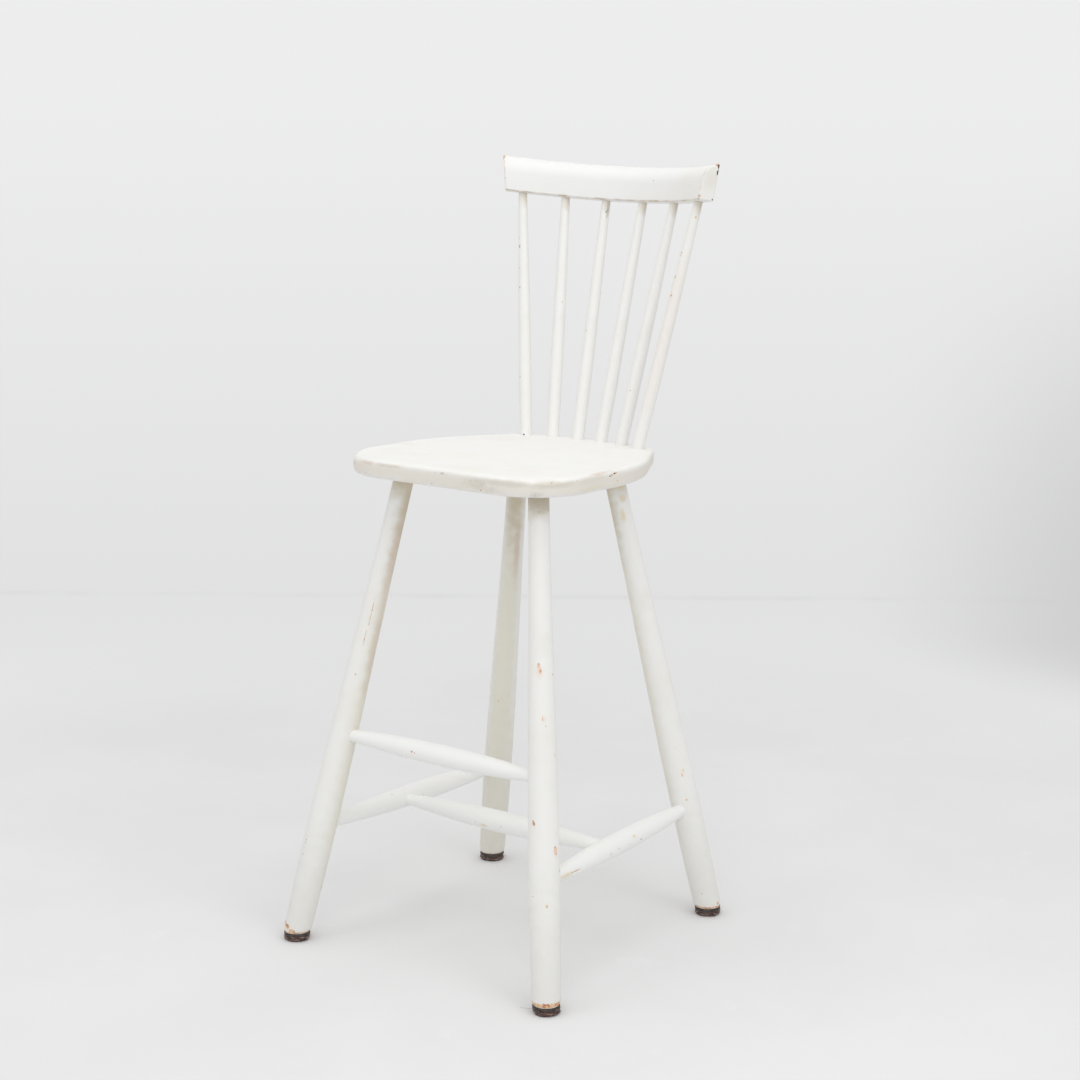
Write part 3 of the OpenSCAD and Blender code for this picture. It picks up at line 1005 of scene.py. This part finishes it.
# both end caps painted darker and warmer
CREST_END_DARKENING = flat_marks(
    (137.5, 145, 811, 8, 24, 50, -37.5),
    (-137.5, 145, 811, 8, 24, 50, 37.5),
)


def arc(x, y, r, start, end, steps):
    """Points on an arc about (x, y), in degrees."""
    angles = [radians(mix(start, end, k / steps)) for k in range(steps + 1)]
    return [(x + r * math.cos(a), y + r * math.sin(a)) for a in angles]


def crest_section():
    """The rail's section as (outwards, up), round from its lower edge in front."""
    t = crest_thick / 2
    e = crest_edge_r
    f = crest_face_r
    back_to_top = math.degrees(math.acos((2 * t - e - f) / f))
    return (arc(e - t, e, e, 270, 180, 6) + arc(f - t, crest_h - f, f, 180, back_to_top, 18)
            + arc(t - e, crest_h - e, e, 90, 0, 6) + arc(t - e, e, e, 0, -90, 6))


def crest_blank():
    """The bent rail about its axis of bending, with its ends cut and rounded."""
    half = radians(crest_half_angle + crest_end_past)
    bm = bmesh.new()
    start = Matrix.Rotation(half, 4, "Z")
    verts = [bm.verts.new(start @ Vector((0, crest_bend_r + x, z))) for x, z in crest_section()]
    bm.faces.new(verts)
    bmesh.ops.spin(bm, geom=whole(bm), cent=(0, 0, 0), axis=(0, 0, -1), angle=2 * half, steps=110)
    bmesh.ops.remove_doubles(bm, verts=bm.verts[:], dist=1e-7)
    for s in (-1, 1):
        turn = Matrix.Rotation(radians(-s * crest_half_angle), 4, "Z")
        slope = Matrix.Rotation(radians(s * crest_end_slope), 4, "Y")
        place = turn @ Matrix.Translation((0, crest_bend_r, 0)) @ slope
        outwards = place.to_3x3() @ Vector((s, 0, 0))
        rim = cut_off(bm, place.to_translation(), outwards)
        rounded(bm, rim, crest_end_round, 5)
        bm.normal_update()
        cap = [f for f in bm.faces if f.normal.dot(outwards) > 0.9999 and f.calc_area() > 1e-5]
        bmesh.ops.inset_region(bm, faces=cap, thickness=0.0003, use_even_offset=True)
    bmesh.ops.recalc_face_normals(bm, faces=bm.faces[:])
    return bm


def stray_crest_chips(lean):
    """Small chips on the back of the rail."""
    rng = random.Random(21)
    strays = []
    for _ in range(6):
        a = radians(rng.uniform(-34, 34))
        behind = Vector((0, crest_bend_r + crest_thick / 2, rng.uniform(0.004, 0.038)))
        middle = lean @ (Matrix.Rotation(a, 3, "Z") @ behind)
        size = (rng.uniform(0.7, 2) * MM, 2 * MM, rng.uniform(0.7, 1.6) * MM)
        strays.append(Mark(middle, size, (0, 0, a)))
    return strays


def build_crest():
    bm = crest_blank()
    hand_finish(bm, 9, 0.00015, 20)
    tilt = Matrix.Rotation(radians(-crest_lean), 4, "X")
    lean = Matrix.Translation((0, crest_y, crest_z)) @ tilt @ Matrix.Translation((0, -crest_bend_r, 0))
    bm.transform(lean)
    knocks(bm, CREST_CHIPS)
    films = [Film(in_place(CREST_WHITER, lean), COOL_PAINT, 0.8),
             # both end caps painted darker and warmer
             Film(in_place(CREST_END_DARKENING, lean), WARM_SHADE, 0.55),
             Film(in_place(CREST_RUBBED, lean), RUBBED_WOOD, 0.8, softness=0.25)]
    chips = in_place(CREST_CHIPS + stray_crest_chips(lean), lean)
    material = white_paint("crest paint", lean, chips=chips, films=films,
                           dark=in_place(CREST_DARK, lean), grain=(1.5, 1.5, 6),
                           edge_line=crest_bend_r - crest_thick / 2)
    finished("bent_crest_rail", bm, material, "crest_rail")


def in_place(marks, place):
    """The same marks, seen from the piece's own place."""
    back = place.inverted()
    return [Mark(back @ m.middle, m.size, m.turn, m.depth) for m in marks]


# ---- Feet ----

def glide_mesh(seed):
    """A round glide with rounded edges and a hole for its nail, sunk for the nail's head."""
    b = glide_bevel
    sunk = felt_h + nail_head_h
    mesh = spun([(nail_r, sunk), (nail_head_r, sunk), (nail_head_r, felt_h), (glide_r - b, felt_h),
                 (glide_r - 0.3 * b, felt_h + 0.3 * b), (glide_r, felt_h + b),
                 (glide_r, glide_h - 1.6 * b), (glide_r - 0.5 * b, glide_h - 0.6 * b),
                 (glide_r - 1.6 * b, glide_h), (nail_r, glide_h), (nail_r, sunk)])
    rough_rim(mesh, seed, 0.00025, 260)
    return mesh


def felt_mesh(seed, rng):
    """A felt pad, drawn in towards the floor, with frayed layers and loose fibres."""
    layers = 12
    side = []
    for j in range(layers + 1):
        tuck = 0.0017 * max(0, 1 - j / layers / 0.45) ** 2 + 0.0005 * abs(math.sin(j * 1.9 + seed))
        side.append((felt_r - tuck, felt_h * j / layers))
    mesh = spun([(0, 0), (felt_r * 0.5, 0)] + side + [(felt_r * 0.5, felt_h), (0, felt_h)], 120)
    rough_rim(mesh, 10 + seed, 0.0013, 190, layered=True)
    for _ in range(7):
        bearing = rng.uniform(0, math.tau)
        loose_fibre(mesh, bearing, rng.uniform(0.0005, 0.005), rng.uniform(0.0015, 0.004),
                    rng.uniform(-0.8, 0.8), 0.00012, 0.1)
    return mesh


def nail_mesh():
    """A nail with its head in the glide and its point up in the leg."""
    head = felt_h + nail_head_h
    tip = head + nail_len
    return spun([(0, felt_h), (nail_head_r * 0.8, felt_h), (nail_head_r, felt_h + 0.4 * MM),
                 (nail_head_r, head - 0.3 * MM), (nail_r * 1.4, head), (nail_r, head + 0.6 * MM),
                 (nail_r, felt_h + nail_len - 3 * MM), (nail_r * 0.35, tip - 0.4 * MM), (0, tip)], 24)


def build_feet():
    plastic = worn_plastic("glide plastic")
    wool = matted_felt("glide felt")
    steel = dull_steel("nail steel")
    nails = bmesh.new()
    for k, (end, side) in enumerate(CORNERS):
        name = f"{end}_{side}"
        middle = foot(end, side)
        base = Matrix.Translation((middle.x, middle.y, 0))
        rng = random.Random(60 + k)
        glide = glide_mesh(k)
        glide.transform(base)
        finished(f"scuffed_glide_{name}", glide, plastic, f"glide_{name}")
        felt = felt_mesh(k, rng)
        if name == "front_left":
            loose_fibre(felt, radians(208), 0.003, 0.0125, 0.4, 0.00013, 0.42)
        felt.transform(base)
        finished(f"frayed_felt_{name}", felt, wool, f"felt_{name}")
        nail = nail_mesh()
        nail.transform(base @ Matrix.Rotation(rng.uniform(0, 6), 4, "Z"))
        spare = new_mesh("spare", nail)
        nails.from_mesh(spare)
        bpy.data.meshes.remove(spare)
    finished("glide_nail_set", nails, steel, "glide_nails")


def loose_fibre(bm, bearing, height, length, bend, r, lift):
    """A fibre that stands out of the felt's rim, curving up and aside and getting thinner."""
    joints = 7
    root = 0.001      # the part of it inside the felt
    made = bmesh.ops.create_circle(bm, segments=5, radius=r, cap_ends=True)
    place = (Matrix.Rotation(bearing, 4, "Z") @ Matrix.Translation((felt_r - root, 0, height))
             @ Matrix.Rotation(radians(90), 4, "Y"))
    bmesh.ops.transform(bm, matrix=place, verts=made["verts"])
    edges = list({e for v in made["verts"] for e in v.link_edges})
    step = place.to_3x3() @ Vector((0, 0, (length + root) / joints))
    for k in range(joints):
        grown = bmesh.ops.extrude_edge_only(bm, edges=edges)
        verts = [g for g in grown["geom"] if isinstance(g, bmesh.types.BMVert)]
        edges = [g for g in grown["geom"] if isinstance(g, bmesh.types.BMEdge)]
        step = Matrix.Rotation(bend / joints, 3, "Z") @ step
        bmesh.ops.translate(bm, verts=verts, vec=step + Vector((0, 0, lift * length * k / joints ** 2)))
        middle = sum((v.co for v in verts), Vector()) / len(verts)
        bmesh.ops.scale(bm, verts=verts, vec=(0.88, 0.88, 0.88), space=Matrix.Translation(-middle))
    bmesh.ops.edgeloop_fill(bm, edges=edges)


def rough_rim(bm, seed, amount, scale, layered=False):
    """Frays or scuffs the outer rim, but leaves the flat faces where they bear. Layers also rise and
    fall round the rim."""
    shift = Vector((seed * 5.1, seed * 2.3, seed * 0.7))
    for v in bm.verts:
        flat = Vector((v.co.x, v.co.y, 0))
        if flat.length > felt_r * 0.85:
            v.co += flat.normalized() * amount * (noise.noise(v.co * scale + shift) - 0.35)
            if layered and 0.0001 < v.co.z < felt_h - 0.0001:
                v.co.z += 0.5 * amount * noise.noise(v.co * scale * 1.7 + shift)


# ---- Studio ----

def shown_rays(tree):
    """Rays that show the backdrop's own tone: those of the view, and those that gloss sends back."""
    rays = put(tree, "LightPath").outputs
    glossy = maths("MAXIMUM", rays["Is Glossy Ray"], rays["Is Transmission Ray"])
    return maths("MAXIMUM", rays["Is Camera Ray"], glossy)


BACKDROP = (0.848, 0.848, 0.852, 1)
LOW_BACKDROP = (0.745, 0.745, 0.747, 1)
DARK_BACKDROP = (0.625, 0.625, 0.63, 1)
FAR_FLOOR = (0.800, 0.800, 0.802, 1)
FARTHEST_FLOOR = (0.760, 0.760, 0.762, 1)
WALL_LINE = (0.69, 0.69, 0.69, 1)
FLOOR_DULL = (0.805, 0.805, 0.808, 1)
FLOOR_PALE = (0.835, 0.835, 0.838, 1)
FLOOR_SCUFF = (0.86, 0.86, 0.86, 1)
FLOOR_SPECK = (0.5, 0.5, 0.49, 1)
AWAY = Vector((-0.592, 0.806, 0))     # from the viewer past the chair
ACROSS = Vector((0.806, 0.592, 0))
VIEWER = 2.5                          # how far the viewer is from the chair
WALL_FOOT = 1.53                      # how far behind the chair the floor's tone ends
FLOOR_R = 40
WHITE = (1, 1, 1, 1)
AIR_LIGHT = 0.62
LAMP_AIM = Vector((0, 0, 0.45))
LAMPS = [  # place, size and power
    ("front softbox", (1.7, -2.6, 2.3), 2.4, 15),
    ("right softbox", (2.8, -0.7, 2.7), 2.0, 16.5),
    ("left softbox", (-1.3, -2.6, 1.8), 1.4, 4),
    ("top softbox", (0.0, -0.3, 3.2), 4.0, 33),
]
CAMERA_AT = (1.4786, -1.9845, 0.9668)
CAMERA_AIM = Vector((-0.0012, 0.0286, 0.427))
LENS = 78.58


def painted_floor(own):
    """Grey-white floor paint with faint scuffs and a few tiny specks."""
    tone = blend(step_from(cloud(own, 3, 4), 0.3, 0.7), FLOOR_DULL, FLOOR_PALE)
    scuffs = step_from(cloud(own, 9, 6, 0.7), 0.60, 0.72, 0, 0.5)
    tone = blend(scuffs, tone, FLOOR_SCUFF)
    cells = after(own, "TexVoronoi", {"Vector": own, "Scale": 9})
    specks = maths("LESS_THAN", cells.outputs["Distance"], 0.012)
    tone = blend(times(specks, 0.35), tone, FLOOR_SPECK)
    return after(tone, "BsdfDiffuse", {"Color": tone})


def distant_tone(own):
    """The floor and the wall behind it further off: lighter upwards, darker at the right."""
    def along_floor(direction):
        made = after(own, "VectorMath", {0: own, 1: direction}, operation="DOT_PRODUCT")
        return made.outputs["Value"]

    away = along_floor(AWAY)
    across = along_floor(ACROSS)
    # as the eye sees it, a place lies lower in view by one over its distance
    near = maths("DIVIDE", 1.0, maths("MAXIMUM", plus(away, VIEWER), 0.8))
    near = maths("SUBTRACT", near, 1 / (FLOOR_R + VIEWER), clamp=True)
    wall = blend(times(near, 4.0), BACKDROP, LOW_BACKDROP)
    ground = blend(step_from(away, 0.6, WALL_FOOT), FAR_FLOOR, FARTHEST_FLOOR)
    slant = plus(away, times(across, 0.033))
    tone = blend(step_from(slant, WALL_FOOT - 0.01, WALL_FOOT + 0.01), ground, wall)
    from_foot = maths("ABSOLUTE", minus(slant, WALL_FOOT))
    uneven = step_from(cloud(own, 4, 4, 0.6), 0.42, 0.62, 0.1, 0.6)
    line = times(step_from(from_foot, 0.03, 0.0), uneven)
    tone = blend(line, tone, WALL_LINE)
    aside = times(times(across, near), step_from(away, 0.2, 1.3))
    dark = times(step_from(aside, 0.118, 0.235), step_from(near, 0.0, 0.225))
    return blend(dark, tone, DARK_BACKDROP)


def build_floor():
    """A wide pale floor. Near the chair it takes light and shadow, further off it is the backdrop."""
    bm = bmesh.new()
    bmesh.ops.create_circle(bm, cap_ends=True, radius=FLOOR_R, segments=96)
    mesh = new_mesh("studio_floor", bm)
    floor = new_object("studio_floor", mesh)
    material, tree = new_material("painted studio floor")
    own = object_coords(tree)
    painted = painted_floor(own)
    glow = put(tree, "Emission", {"Color": distant_tone(own)})
    share = times(shown_rays(tree), step_from(length_of(own), 0.75, 1.4))
    surface(tree, put(tree, "MixShader", {0: share, 1: painted.outputs[0], 2: glow.outputs[0]}))
    mesh.materials.append(material)


def build_world():
    world = bpy.data.worlds.new("studio air")
    bpy.context.scene.world = world
    world.use_nodes = True
    tree = world.node_tree
    tree.nodes.clear()
    light = put(tree, "Background", {"Color": WHITE, "Strength": AIR_LIGHT})
    shown = put(tree, "Background", {"Color": BACKDROP})
    both = put(tree, "MixShader", {0: shown_rays(tree), 1: light.outputs[0], 2: shown.outputs[0]})
    put(tree, "OutputWorld", {"Surface": both.outputs[0]})


def softbox(name, at, size, power):
    lamp = bpy.data.lights.new(name, "AREA")
    lamp.shape = "DISK"
    lamp.size = size
    lamp.energy = power
    holder = new_object(name, lamp)
    holder.location = at
    holder.rotation_euler = (LAMP_AIM - Vector(at)).to_track_quat("-Z", "Y").to_euler()


def build_camera():
    lens = bpy.data.cameras.new("camera")
    lens.lens = LENS
    lens.sensor_width = 36
    camera = new_object("camera", lens)
    camera.location = CAMERA_AT
    camera.rotation_euler = (CAMERA_AIM - camera.location).to_track_quat("-Z", "Y").to_euler()
    bpy.context.scene.camera = camera


for item in [o for o in bpy.data.objects if o.type in ("CAMERA", "LIGHT")]:
    bpy.data.objects.remove(item)

build_camera()
build_world()
build_floor()
for row in LAMPS:
    softbox(*row)
for corner in CORNERS:
    build_leg(*corner)
build_stretchers()
for number in spindles:
    build_spindle(number)
build_seat()
build_crest()
build_feet()

bpy.context.scene.view_settings.view_transform = "Standard"
bpy.context.view_layer.update()
